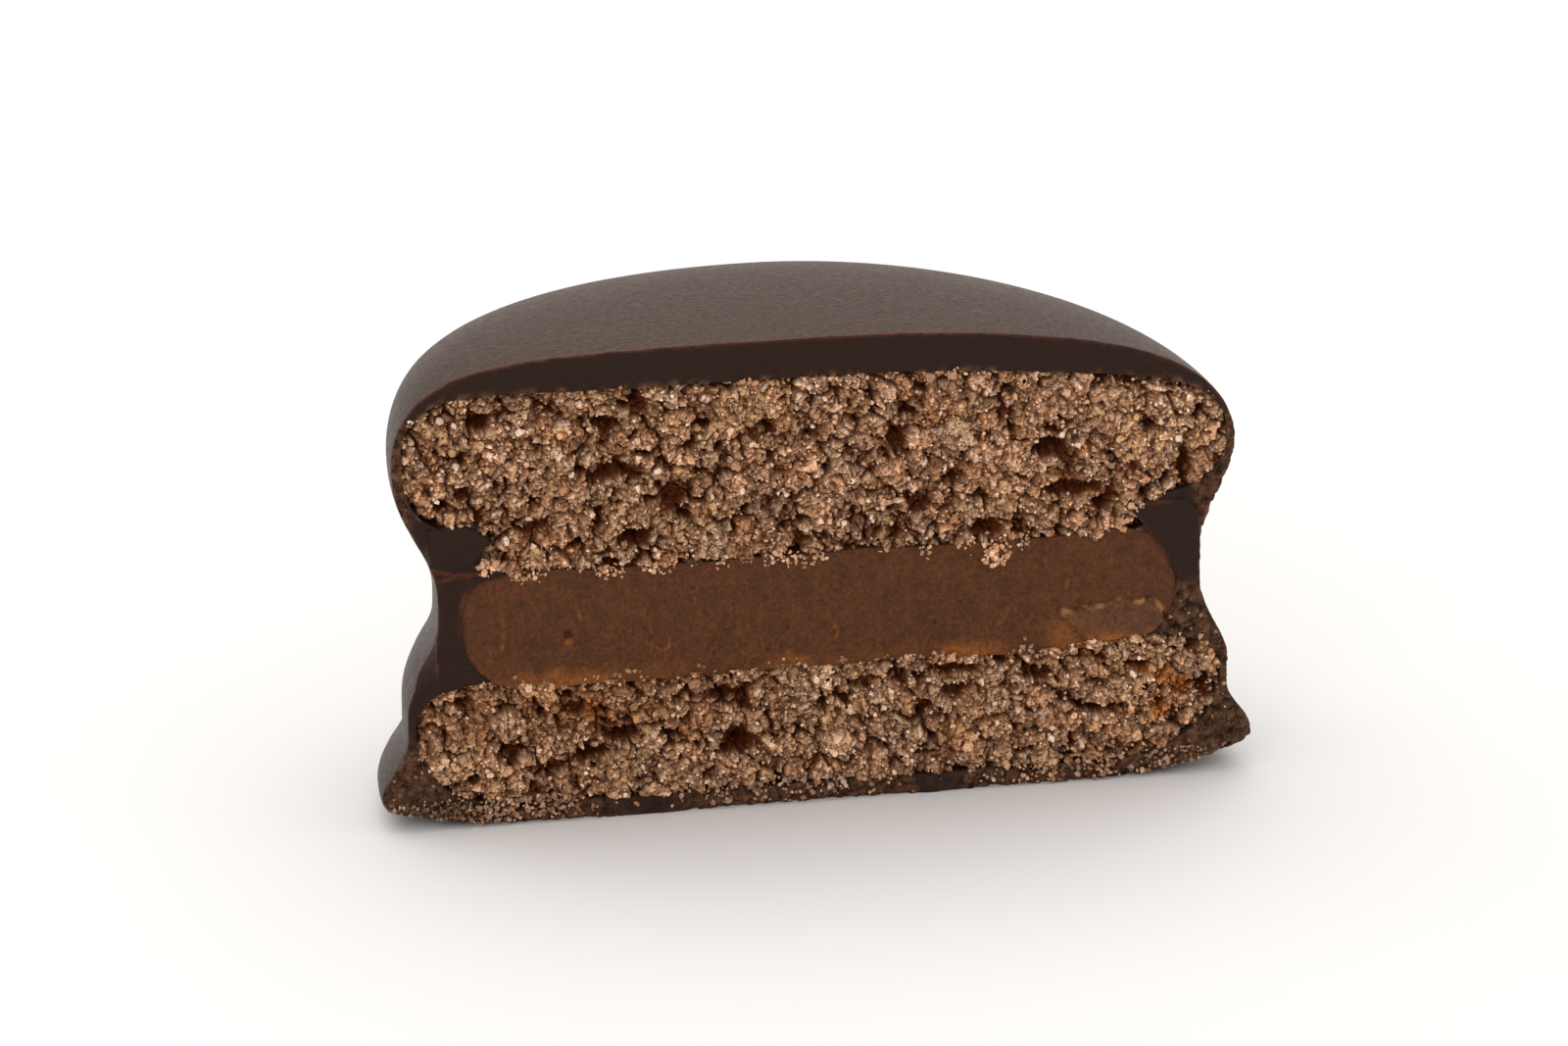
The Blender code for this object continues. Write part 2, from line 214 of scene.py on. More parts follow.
def unevenness(points):
    """Where points of the turned shape end up in the hand-made one, as in the solids."""
    x, y, z = points.T
    radius = np.hypot(x, y)
    slope = x * np.abs(x) / DOME_RADIUS**2
    x_moved = x - DOME_SHIFT * rise(18.0, 24.0, z)
    z_moved = z - DOME_LEAN * slope * rise(18.0, 31.0, z)
    past = np.maximum(0.0, (np.abs(x) - LIFT_START) / (FOOT_RADIUS - LIFT_START))
    lift = np.where(x > 0.0, RIGHT_LIFT, LEFT_LIFT)
    z_moved += lift * past**2 * fall(0.0, 12.0, z)

    turn = np.arctan2(y, x)
    band = rise(2.0, 6.0, z) * fall(15.0, 20.0, z)
    fold = np.sin(3.0 * turn + 0.9) * np.cos(z / (2.2 * MM) + 1.4 * np.sin(turn))
    strength = band * smooth_step(FILLING_RADIUS, WAIST_RADIUS, radius) * np.sin(turn)
    change = 1.0 + FOLD_DEPTH * fold * strength / np.maximum(radius, MM)
    x_moved = x_moved * change
    y_moved = y * change

    for height in (BOTTOM_TOP, FILLING_TOP):
        nearness = bell(z - height, 2.0 * MM)
        close = nearness > 0.01
        waves = [noise.noise(Vector((a, b, height)) / (6.0 * MM)) for a, b in zip(x[close], y[close])]
        z_moved[close] += WAVE_DEPTH * nearness[close] * np.array(waves)
    return np.column_stack([x_moved, y_moved + AXIS_Y, z_moved])


def section_of(outline):
    """The outline's whole loop on the cut, as x and z, from the base's middle up the right side and round."""
    right = outline[::-1]
    left = outline * (-1, 1)
    loop = np.vstack([right, left[1:]])
    flat = np.column_stack([loop[:, 0], np.zeros(len(loop)), loop[:, 1]])
    return unevenness(flat)[:, [0, 2]]


# Noise on the cut

def value_noise(x, z, size, seed):
    """Smooth noise from -1 to 1, with lumps about size millimetres wide. Each use has a seed of its own."""
    rows = 256
    table = np.random.default_rng(seed).uniform(-1.0, 1.0, (rows, rows))
    u = x / (size * MM) + 100.0
    v = z / (size * MM) + 100.0
    i = np.floor(u).astype(int)
    j = np.floor(v).astype(int)
    a = smooth_step(0.0, 1.0, u - i)
    b = smooth_step(0.0, 1.0, v - j)
    i0, i1, j0, j1 = i % rows, (i + 1) % rows, j % rows, (j + 1) % rows
    low = table[i0, j0] * (1 - a) + table[i1, j0] * a
    high = table[i0, j1] * (1 - a) + table[i1, j1] * a
    return low * (1 - b) + high * b


def cells_of(x, z, size, seed):
    """For scattered cells: distance to the nearest middle, how much further the next is, the way from that
    middle, and the cell's three draws."""
    rows = 512
    table = np.random.default_rng(seed).uniform(0.0, 1.0, (5, rows, rows))
    u = x / size + 0.5 * rows
    v = z / size + 0.5 * rows
    i = np.floor(u).astype(int)
    j = np.floor(v).astype(int)
    nearest = np.full(x.shape, 9.0)
    second = nearest.copy()
    across = np.zeros(x.shape)
    up = np.zeros(x.shape)
    cell = np.zeros(x.shape, int)
    for di in (-1, 0, 1):
        for dj in (-1, 0, 1):
            a = (i + di) % rows
            b = (j + dj) % rows
            dx = u - i - di - table[0, a, b]
            dz = v - j - dj - table[1, a, b]
            away = np.hypot(dx, dz)
            closer = away < nearest
            second = np.where(closer, nearest, np.minimum(second, away))
            nearest = np.where(closer, away, nearest)
            across = np.where(closer, dx, across)
            up = np.where(closer, dz, up)
            cell = np.where(closer, a * rows + b, cell)
    return nearest, second - nearest, (across, up), table[2:].reshape(3, -1)[:, cell]


def facets(x, z, kind, seed):
    """Depth of broken facets, each standing at its own level and leaning its own way, and how far inside its
    facet each point is. The kind gives their size, step, lean, crack and swell in millimetres."""
    size, step, lean, crack, swell = np.array(kind) * MM
    near, inside, (across, up), draws = cells_of(x, z, size, seed)
    depth = step * draws[0] + lean * ((2.0 * draws[1] - 1.0) * across + (2.0 * draws[2] - 1.0) * up)
    return depth + crack * bell(inside, 0.15) + swell * near**2, inside


def distance_to(x, z, path, closed=True):
    """Distance from each point of the cut to a path of straight runs."""
    best = np.full(x.shape, 1.0)
    ends = np.roll(path, -1, axis=0) if closed else np.array(path)[1:]
    for (ax, az), (bx, bz) in zip(path, ends):
        dx, dz = bx - ax, bz - az
        length = dx * dx + dz * dz
        if length == 0.0:
            continue
        t = np.clip(((x - ax) * dx + (z - az) * dz) / length, 0.0, 1.0)
        best = np.minimum(best, np.hypot(x - ax - t * dx, z - az - t * dz))
    return best


# Meshes

def new_mesh(name, points, faces):
    mesh = bpy.data.meshes.new(name)
    mesh.from_pydata(points.tolist() if hasattr(points, "tolist") else points, [], faces)
    mesh.update()
    return mesh


def new_object(name, data):
    made = bpy.data.objects.new(name, data)
    bpy.context.scene.collection.objects.link(made)
    return made


def turned(name, outline, turn_steps):
    """A solid turned from an outline that runs from the top of the axis to its bottom, made uneven."""
    rings = outline[1:-1]
    turn = np.arange(turn_steps) * (math.tau / turn_steps)
    ring_x = (rings[:, :1] * np.cos(turn)).ravel()
    ring_y = (rings[:, :1] * np.sin(turn)).ravel()
    ring_z = np.repeat(rings[:, 1], turn_steps)
    sides = np.column_stack([ring_x, ring_y, ring_z])
    points = np.vstack([(0.0, 0.0, outline[0, 1]), sides, (0.0, 0.0, outline[-1, 1])])
    steps = [(k, (k + 1) % turn_steps) for k in range(turn_steps)]
    faces = [(0, 1 + a, 1 + b) for a, b in steps]
    for ring in range(len(rings) - 1):
        upper = 1 + ring * turn_steps
        lower = upper + turn_steps
        faces += [(upper + a, lower + a, lower + b, upper + b) for a, b in steps]
    last = 1 + (len(rings) - 1) * turn_steps
    faces += [(len(points) - 1, last + b, last + a) for a, b in steps]
    return new_object(name, new_mesh(name, unevenness(points), faces))


def cut_grid(x_low, x_high, z_low, z_high, cell):
    """Rows of x and z over part of the cut, a cell apart."""
    columns = round((x_high - x_low) / cell) + 1
    rows = round((z_high - z_low) / cell) + 1
    return np.meshgrid(np.linspace(x_low, x_high, columns), np.linspace(z_low, z_high, rows))


def relief_block(x, z, y):
    """A closed block in front of the surface y over the grid x, z."""
    rows, columns = x.shape
    grid = np.column_stack([x.ravel(), y.ravel(), z.ravel()])
    corners = [(x[0, 0], z[0, 0]), (x[0, -1], z[0, 0]), (x[0, -1], z[-1, 0]), (x[0, 0], z[-1, 0])]
    points = np.vstack([grid, [(cx, BLOCK_FRONT, cz) for cx, cz in corners]])
    index = np.arange(rows * columns).reshape(rows, columns)
    quads = np.stack([index[:-1, :-1], index[1:, :-1], index[1:, 1:], index[:-1, 1:]], axis=-1)
    faces = quads.reshape(-1, 4).tolist()
    left_low, right_low, right_high, left_high = range(rows * columns, rows * columns + 4)
    faces.append([*index[0], right_low, left_low])
    faces.append([*index[-1, ::-1], left_high, right_high])
    faces.append([*index[::-1, 0], left_low, left_high])
    faces.append([*index[:, -1], right_high, right_low])
    faces.append([left_low, right_low, right_high, left_high])
    return new_object("block", new_mesh("block", points, faces))


def subtract(solid, *cutters):
    """Cuts the solid by each cutter and removes the cutters."""
    for cutter in cutters:
        difference = solid.modifiers.new("cut", "BOOLEAN")
        difference.operation = "DIFFERENCE"
        difference.solver = "MANIFOLD"
        difference.object = cutter
    bpy.context.view_layer.update()
    evaluated = solid.evaluated_get(bpy.context.evaluated_depsgraph_get())
    mesh = bpy.data.meshes.new_from_object(evaluated)
    solid.modifiers.clear()
    old = solid.data
    solid.data = mesh
    bpy.data.meshes.remove(old)
    for cutter in cutters:
        used = cutter.data
        bpy.data.objects.remove(cutter)
        bpy.data.meshes.remove(used)
    mesh.materials.clear()
    mesh.shade_smooth()
    mesh.set_sharp_from_angle(angle=math.radians(55.0))


def vertices_of(mesh):
    points = np.empty(len(mesh.vertices) * 3, np.float32)
    mesh.vertices.foreach_get("co", points)
    return points.reshape(-1, 3).astype(float)


def colour_points(mesh, name, colours):
    """Stores a colour for each vertex."""
    layer = mesh.color_attributes.new(name, "FLOAT_COLOR", "POINT")
    full = np.ones((len(mesh.vertices), 4), np.float32)
    full[:, : colours.shape[1]] = colours
    layer.data.foreach_set("color", full.ravel())


# Materials

def shader_of(name):
    material = bpy.data.materials.new(name)
    material.use_nodes = True
    tree = material.node_tree
    return material, tree, tree.nodes["Principled BSDF"]


def feed(tree, node, **values):
    """Gives each named input of the node a value, or a socket to read."""
    for key, value in values.items():
        socket = node.inputs[key.replace("_", " ")]
        if isinstance(value, bpy.types.NodeSocket):
            tree.links.new(value, socket)
        else:
            socket.default_value = value


def add(tree, kind, **values):
    """A node with the given properties; a key that is not a property feeds the input of that name."""
    node = tree.nodes.new(kind)
    for key, value in values.items():
        if hasattr(node, key):
            setattr(node, key, value)
        else:
            feed(tree, node, **{key: value})
    return node


def mixed(tree, factor, first, second, blend="MIX"):
    """A colour mix. Each argument is a socket, a number or a colour."""
    node = add(tree, "ShaderNodeMix", data_type="RGBA", blend_type=blend)
    for socket, given in zip((node.inputs[0], node.inputs[6], node.inputs[7]), (factor, first, second)):
        if isinstance(given, bpy.types.NodeSocket):
            tree.links.new(given, socket)
        elif isinstance(given, tuple):
            socket.default_value = (*given, 1.0)
        elif socket.type == "RGBA":
            socket.default_value = (given, given, given, 1.0)
        else:
            socket.default_value = given
    return node.outputs[2]


def noise_of(tree, place, size, detail=3.0, rough=0.55):
    """Noise with lumps about size metres wide, as a value round a half."""
    node = add(tree, "ShaderNodeTexNoise", Vector=place, Scale=1.0 / size, Detail=detail, Roughness=rough)
    return node.outputs["Fac"]


def ranged(tree, value, from_low, from_high, to_low, to_high):
    node = add(tree, "ShaderNodeMapRange", Value=value, From_Min=from_low, From_Max=from_high)
    feed(tree, node, To_Min=to_low, To_Max=to_high)
    return node.outputs[0]


def bumped(tree, height, distance, strength=1.0, **under):
    """The normal of a bump, which lies on another where Normal is given."""
    node = add(tree, "ShaderNodeBump", Strength=strength, Distance=distance, Height=height, **under)
    return node.outputs["Normal"]


def srgb(red, green, blue):
    """A colour from its 0 to 255 screen values, as light."""
    values = np.array([red, green, blue]) / 255.0
    light = np.where(values <= 0.04045, values / 12.92, ((values + 0.055) / 1.055) ** 2.4)
    return tuple(float(value) for value in light)


def object_place(tree):
    return add(tree, "ShaderNodeTexCoord").outputs["Object"]


def stored_colour(tree, name):
    return add(tree, "ShaderNodeVertexColor", layer_name=name).outputs["Color"]


def chocolate_material():
    """Attribute "marks": red is the knife's cut, green a reddish line painted along the coat's thin edges as
    the glow of light through them, blue the torn, speckled coat.
    """
    material, tree, shader = shader_of("dark_chocolate")
    place = object_place(tree)
    on_cut, painted_edge_glow, torn = add(tree, "ShaderNodeSeparateColor", Color=stored_colour(tree, "marks")).outputs

    mottle = noise_of(tree, place, 4.0 * MM)
    grain = noise_of(tree, place, 0.35 * MM, detail=2.0)
    dimples = noise_of(tree, place, 0.4 * MM, detail=4.0, rough=0.75)
    height = add(tree, "ShaderNodeSeparateXYZ", Vector=place).outputs["Z"]
    # Painted sheen: the dome's top is coloured warmer and lighter to tint the light it reflects
    painted_top_sheen = ranged(tree, height, 29.5 * MM, 33.5 * MM, 0.0, 1.0)
    skin = mixed(tree, mottle, srgb(51, 33, 24), srgb(59, 39, 29))
    skin = mixed(tree, painted_top_sheen, skin, srgb(61, 36, 21))
    skin = mixed(tree, 1.0, skin, ranged(tree, dimples, 0.35, 0.65, 0.7, 1.3), "MULTIPLY")
    cut = mixed(tree, grain, srgb(42, 26, 19), srgb(51, 32, 24))
    colour = mixed(tree, on_cut, skin, cut)
    # The reddish line is a painted glow of light through the coat's thin edges, broken up by noise
    broken = ranged(tree, noise_of(tree, place, 1.3 * MM, detail=4.0), 0.38, 0.62, 0.15, 1.0)
    edge = mixed(tree, 1.0, painted_edge_glow, broken, "MULTIPLY")
    colour = mixed(tree, edge, colour, srgb(112, 62, 48))
    speckle = ranged(tree, noise_of(tree, place, 0.8 * MM, detail=5.0, rough=0.75), 0.38, 0.66, 0.0, 1.0)
    colour = mixed(tree, torn, colour, mixed(tree, speckle, srgb(48, 28, 18), srgb(146, 104, 78)))

    smooth = ranged(tree, dimples, 0.35, 0.65, 0.46, 0.3)
    rough = mixed(tree, torn, mixed(tree, on_cut, smooth, 0.55), 0.8)
    normal = bumped(tree, dimples, 0.4 * MM)
    normal = bumped(tree, noise_of(tree, place, 5.0 * MM), 0.12 * MM, 0.35, Normal=normal)
    feed(tree, shader, Base_Color=colour, Roughness=rough, Normal=normal)
    feed(tree, shader, Specular_IOR_Level=0.25, Specular_Tint=(1.0, 0.8, 0.7, 1.0))
    return material


def crumb_material():
    """Attribute "tone" holds each grain's colour, with painted shade in the crumb's gaps, pits and deeper
    places and on the lower biscuit's left end, and painted glints on the brightest grains.
    """
    material, tree, shader = shader_of("cocoa_crumb")
    fine = noise_of(tree, object_place(tree), 0.12 * MM)
    shade = ranged(tree, fine, 0.3, 0.7, 0.5, 1.5)
    colour = mixed(tree, 1.0, stored_colour(tree, "tone"), shade, "MULTIPLY")
    rough = ranged(tree, fine, 0.3, 0.7, 0.5, 0.8)
    normal = bumped(tree, fine, 0.03 * MM, 0.6)
    feed(tree, shader, Base_Color=colour, Roughness=rough, Specular_IOR_Level=0.2, Normal=normal)
    return material


def filling_material():
    """Attribute "tone" holds the filling's own colour and knife marks, with a painted amber glow where its
    thin low edge lets light through and a painted highlight on the flake's rim.
    """
    material, tree, shader = shader_of("dulce_de_leche_with_painted_light")
    place = object_place(tree)
    mottle = noise_of(tree, place, 1.6 * MM, detail=5.0, rough=0.75)
    grain = noise_of(tree, place, 0.25 * MM, rough=0.7)
    colour = stored_colour(tree, "tone")
    colour = mixed(tree, 1.0, colour, ranged(tree, mottle, 0.3, 0.7, 0.8, 1.2), "MULTIPLY")
    colour = mixed(tree, 1.0, colour, ranged(tree, grain, 0.3, 0.7, 0.6, 1.4), "MULTIPLY")
    rough = ranged(tree, mottle, 0.3, 0.7, 0.42, 0.6)
    feed(tree, shader, Base_Color=colour, Roughness=rough, Normal=bumped(tree, grain, 0.05 * MM, 0.8))
    feed(tree, shader, Specular_IOR_Level=0.2, Specular_Tint=(1.0, 0.85, 0.7, 1.0))
    return material


# The coating

# Cracks across the left of the waist, and where the biscuit broke off the chunk above them
CRACKS = (
    millimetres((-27.9, 19.1), (-27.1, 18.9), (-26.1, 18.6), (-25.2, 18.5)),
    millimetres((-27.8, 18.0), (-26.6, 18.2), (-25.4, 18.45), (-24.0, 18.5), (-23.2, 19.2), (-22.6, 20.1)),
)
# Facets of the torn coat: size, step, lean, crack and swell in millimetres
COAT_FACETS = ((0.9, 0.25, 0.2, 0.2, 0.2), (0.4, 0.12, 0.15, 0.08, 0.1))


def torn_share(x, z):
    """How torn the coat is at a point of the cut: at the base, the foot's ends and the dome's sides."""
    wander = 0.5 * MM * value_noise(x, z, 1.5, 11)
    base = 1.0 - smooth_step(BASE_COAT - 0.1 * MM, BASE_COAT + 0.5 * MM, z + wander)
    smooth_patches = bell(x + 12.5 * MM, 3.4 * MM, 4) + bell(x - 8.3 * MM, 1.9 * MM, 4)
    base *= 1.0 - 0.85 * np.clip(smooth_patches, 0.0, 1.0)
    left_foot = 0.85 * rise(26.0, 27.5, -x + wander) * fall(5.0, 7.5, z)
    right_foot = 0.85 * rise(23.5, 24.5, x + wander) * fall(13.5, 15.0, z)
    left_dome = 0.8 * (rise(28.2, 28.8, -x + wander) * rise(20.0, 22.0, z) * fall(28.5, 30.5, z))
    right_waist = 0.8 * (rise(26.3, 26.9, x + wander) * rise(16.0, 18.0, z) * fall(26.0, 28.0, z))
    return np.maximum.reduce([base, left_foot, right_foot, left_dome, right_waist])


def broken_side(x, z):
    """How far a point lies past the near upright line where the coat broke off at the left of the waist, and
    how much of the coat broke off at its height."""
    line = -26.4 * MM - 0.06 * z + 0.08 * MM * value_noise(z, z, 1.1, 26)
    share = rise(10.2, 12.0, z) * fall(19.0, 21.5, z)
    return np.maximum(line - x, 0.0), share


def coat_relief(x, z, outer):
    """The knife's surface on the chocolate, and how torn and how near its outer edge each point is."""
    edge = distance_to(x, z, outer)
    torn = torn_share(x, z)
    drag = 0.03 * MM * value_noise(x, z, 3.0, 21) + 0.012 * MM * value_noise(x, z, 0.6, 22)
    chips = np.maximum(0.0, value_noise(x, z, 0.5, 23))
    rounding = (0.08 + 0.14 * chips) * MM * np.exp(-edge / (0.09 * MM))
    crags = sum(facets(x, z, kind, 24 + number)[0] for number, kind in enumerate(COAT_FACETS))
    y = CUT_Y + 0.03 * MM + drag + rounding + torn * np.maximum(crags, 0.0)
    for crack in CRACKS:
        y += 0.14 * MM * bell(distance_to(x, z, crack, closed=False), 0.1 * MM)
    past, share = broken_side(x, z)
    y += share * (0.35 * MM * rise(0.0, 0.15, past) + 1.2 * past)
    return y, torn, edge


def at_grid(points, x, z, *fields):
    """For each point, each field's value at the nearest place of the grid x, z."""
    cell = x[0, 1] - x[0, 0]
    column = np.clip(np.round((points[:, 0] - x[0, 0]) / cell).astype(int), 0, x.shape[1] - 1)
    row = np.clip(np.round((points[:, 2] - z[0, 0]) / cell).astype(int), 0, x.shape[0] - 1)
    return [field[row, column] for field in fields]


def make_coating(outline, filling_loop):
    coating = turned("coating", outline, COAT_STEPS)
    rooms = [
        turned("room", smooth_outline(grown(inner, FIT_GAP)), INNER_STEPS)
        for inner in (top_biscuit_outline(), filling_outline(), bottom_biscuit_outline())
    ]
    outer = section_of(outline)
    margin = 1.0 * MM
    x, z = cut_grid(-FOOT_RADIUS - margin, FOOT_RADIUS + margin, -margin, HEIGHT + margin, COAT_CELL)
    y, torn, edge = coat_relief(x, z, outer)
    subtract(coating, *rooms, relief_block(x, z, y))

    points = vertices_of(coating.data)
    surface, torn_here, edge_here = at_grid(points, x, z, y, torn, edge)
    px, py, pz = points.T
    crumb_loop = section_of(smooth_outline(grown(top_biscuit_outline(), FIT_GAP)))
    fuzzy = smooth_step(-0.2, 0.5, value_noise(px, pz, 0.7, 27))
    fuzzy *= bell(distance_to(px, pz, crumb_loop), 0.28 * MM)
    torn_here = np.maximum(torn_here, 0.8 * fuzzy)
    on_cut = (np.abs(py - surface) < 0.12 * MM).astype(float)
    past, share = broken_side(px, pz)
    side_line = on_cut * share * fall(0.1, 0.25, past) * (past > 0.0)
    on_cut *= 1.0 - share * rise(0.15, 0.3, past)
    # Reddish lines painted as the glow of light through thin chocolate: along the cut's outer edge, round the
    # filling, along the cracks, the broken side and the foot's rim
    edge_line = fall(0.05, 0.17, edge_here) * (0.4 + 0.6 * rise(14.0, 20.0, pz))
    edge_line *= fall(0.15, 0.35, py - CUT_Y)
    near_crack = np.minimum.reduce([distance_to(px, pz, crack, closed=False) for crack in CRACKS])
    cracked = on_cut * fall(0.08, 0.2, near_crack)
    arc_line = 0.7 * fall(0.3, 0.42, distance_to(px, pz, filling_loop)) * rise(13.5, 15.5, pz)
    arc_line *= on_cut * fall(-25.5, -24.0, px)
    from_axis = np.hypot(px, py - AXIS_Y)
    foot_line = 0.8 * ((pz < 0.4 * MM) & (from_axis > FOOT_RADIUS - 0.9 * MM) & (on_cut < 0.5))
    line = np.maximum.reduce([edge_line, arc_line, cracked, side_line, foot_line])
    colour_points(coating.data, "marks", np.column_stack([on_cut, line, torn_here * on_cut]))
    coating.data.materials.append(chocolate_material())
    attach(coating, "root")
    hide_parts("chocolate_coating")


# Slabs of the coat that the knife bent over the layers at both ends of the waist
CHIPS = (
    millimetres(
        (-27.6, 22.1), (-24.9, 22.0), (-23.9, 21.4), (-23.2, 20.9),
        (-23.9, 20.2), (-24.4, 19.5), (-25.9, 18.9), (-27.5, 19.2),
    ),
    millimetres(
        (21.6, 20.3), (23.5, 20.5), (25.9, 20.6), (26.8, 19.7), (27.0, 17.0),
        (26.9, 14.9), (25.4, 14.6), (24.6, 16.2), (23.9, 17.5), (22.8, 18.9),
    ),
)
# Rings of a slab's rounded front: share of its outline, and how far back it lies in millimetres
CHIP_RINGS = ((1.0, 0.75), (1.0, 0.08), (0.97, 0.01), (0.93, 0.0), (0.87, 0.0), (0.6, 0.01), (0.3, 0.02))


def make_chips():
    """The slabs, each with a rounded edge, a little roughened, that runs back into the cut."""
    points = []
    faces = []
    line = []
    shares = np.linspace(0.0, 1.0, 6)[:-1]
    for number, outline in enumerate(CHIPS):
        ends = np.roll(outline, -1, axis=0)
        edge = np.vstack([a + (b - a) * t for a, b in zip(outline, ends) for t in shares])
        edge = edge + np.random.default_rng(60 + number).normal(0.0, 0.05 * MM, edge.shape)
        middle = edge.mean(axis=0)
        steps = len(edge)
        first = len(points)
        for share, back in CHIP_RINGS:
            ring = middle + share * (edge - middle)
            points += [(x, CUT_Y - 0.1 * MM + back * MM, z) for x, z in ring]
            # The right slab's left rim gets the same painted glow line of light through thin chocolate
            line += [float(share > 0.9 and number == 1 and x < middle[0]) for x, z in ring]
        pairs = [(k, (k + 1) % steps) for k in range(steps)]
        for ring in range(len(CHIP_RINGS) - 1):
            low = first + ring * steps
            faces += [(low + a, low + b, low + steps + b, low + steps + a) for a, b in pairs]
        last = first + (len(CHIP_RINGS) - 1) * steps
        faces.append(tuple(range(last, last + steps)))
        faces.append(tuple(range(first + steps - 1, first - 1, -1)))
    mesh = new_mesh("chips", points, faces)
    body = bmesh.new()
    body.from_mesh(mesh)
    bmesh.ops.recalc_face_normals(body, faces=body.faces)
    body.to_mesh(mesh)
    body.free()
    mesh.shade_smooth()
    mesh.set_sharp_from_angle(angle=math.radians(60.0))
    marks = np.column_stack([np.ones(len(line)), 0.6 * np.array(line), np.zeros(len(line))])
    colour_points(mesh, "marks", marks)
    mesh.materials.append(bpy.data.materials["dark_chocolate"])
    chips = new_object("coat_slabs", mesh)
    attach(chips, "root")


# The crumb

# Colours of the clumps, which the grains' own strength darkens
CRUMB_COLOURS = np.array(
    [srgb(240, 187, 145), srgb(237, 185, 139), srgb(227, 168, 122), srgb(233, 181, 133), srgb(243, 197, 155)]
)
# Pale sugar grains, which also stand in for painted glints on the brightest grains
SUGAR_AND_GLINT_COLOUR = np.array(srgb(248, 222, 202))
# Painted shade, dark and red, for the crumb's pits, holes and gaps
PAINTED_CRUMB_SHADE = np.array(srgb(100, 50, 20))
CARAMEL_BIT = np.array(srgb(216, 134, 66))
# Bits of caramel: x, z and radius in millimetres
CARAMEL_PLACES = (
    (-16.3, 8.0, 0.7), (-17.6, 8.3, 0.5), (23.0, 8.3, 0.6),
    (24.6, 7.5, 0.8), (25.9, 6.6, 0.9), (24.3, 5.0, 0.8),
)
# Painted shade on the lower biscuit's left end: x, z, half width and half height in millimetres, and the
# light lost there
PAINTED_SHADE_PLACE = (-16.0, 8.4, 9.0, 2.4)
PAINTED_SHADE_LOSS = (0.24, 0.34, 0.42)
# Clumps: width, how far their levels differ, how round they are, how far they stand out, and their cracks
CLUMP = 1.9 * MM
CLUMP_STEP = 0.55 * MM
CLUMP_SWELL = 0.65 * MM
CLUMP_RAISE = 0.42 * MM
CRACK_DEPTH = 0.8 * MM
# Facets on the clumps: size, step, lean, crack and swell in millimetres
CRUMB_FACETS = ((0.85, 0.28, 0.26, 0.28, 0.2), (0.38, 0.2, 0.2, 0.2, 0.2), (0.2, 0.1, 0.12, 0.06, 0.0))
FACET_SEED = 20
# Loose grains: pitch, smallest and largest radius in millimetres, share that is there, subdivisions
GRAIN_KINDS = {"_coarse": (0.8, 0.18, 0.34, 0.35, 2), "_fine": (0.28, 0.08, 0.19, 0.75, 1)}
# How many shapes the grains have, and how many flats are cut on each
GRAIN_SHAPES = 14
FLATS = 4


def bent(x, z, seed):
    """The places pushed about, so that the clumps' borders wander."""
    push = 0.35 * MM
    x_bent = x + push * value_noise(x, z, 0.6, seed + 11)
    return x_bent, z + push * value_noise(x, z, 0.6, seed + 12)


def crumb_ground(x, z, pits, seed):
    """Depth of the torn crumb (clumps, cracks, facets, holes and pits), and how strong the painted shade in
    its gaps is.
    """
    x_bent, z_bent = bent(x, z, seed)
    near, inside, _, draws = cells_of(x_bent, z_bent, CLUMP, seed)
    broken = smooth_step(-0.4, 0.5, value_noise(x, z, 1.3, seed + 5))
    depth = CLUMP_STEP * draws[0] + CLUMP_SWELL * near**2 - CLUMP_RAISE
    depth += CRACK_DEPTH * broken * bell(inside, 0.13)
    gap_shade = bell(inside, 0.1)
    for number, kind in enumerate(CRUMB_FACETS):
        more, inside = facets(x_bent, z_bent, kind, seed + FACET_SEED + number)
        depth += more
        if number < 2:
            gap_shade = np.maximum(gap_shade, bell(inside, 0.17))
    depth += 0.16 * MM * value_noise(x, z, 4.5, seed + 2)
    x_pushed = x + 0.5 * MM * value_noise(x, z, 0.9, seed + 13)
    z_pushed = z + 0.5 * MM * value_noise(x, z, 0.9, seed + 14)
    near, _, _, draws = cells_of(x_pushed / 1.3, z_pushed, 1.7 * MM, seed + 3)
    ragged = 0.12 * value_noise(x, z, 0.3, seed + 6)
    size = 0.06 + 0.26 * np.maximum(draws[0] - 0.45, 0.0)
    hole = (draws[0] > 0.45) * (1.0 - smooth_step(size, size + 0.12, near + ragged))
    depth += (0.6 + 0.6 * draws[1]) * MM * hole
    uneven = 1.0 + 0.5 * value_noise(x, z, 0.7, seed + 4)
    for pit_x, pit_z, half_width, half_height, pit_depth in pits:
        across = (x / MM - pit_x) / half_width
        up = (z / MM - pit_z) / half_height
        depth += 1.3 * pit_depth * MM * np.exp(-(((across**2 + up**2) * uneven) ** 1.5))
    return np.maximum(depth, 0.01 * MM), gap_shade


def spread(x_low, x_high, z_low, z_high, pitch, seed):
    """Places spread evenly over part of the cut, each pushed off its row and column, and their generator."""
    draws = np.random.default_rng(seed)
    columns = round((x_high - x_low) / pitch)
    rows = round((z_high - z_low) / pitch)
    x, z = np.meshgrid(np.linspace(x_low, x_high, columns), np.linspace(z_low, z_high, rows))
    x = (x + draws.uniform(-0.6, 0.6, x.shape) * pitch).ravel()
    z = (z + draws.uniform(-0.6, 0.6, z.shape) * pitch).ravel()
    return x, z, draws


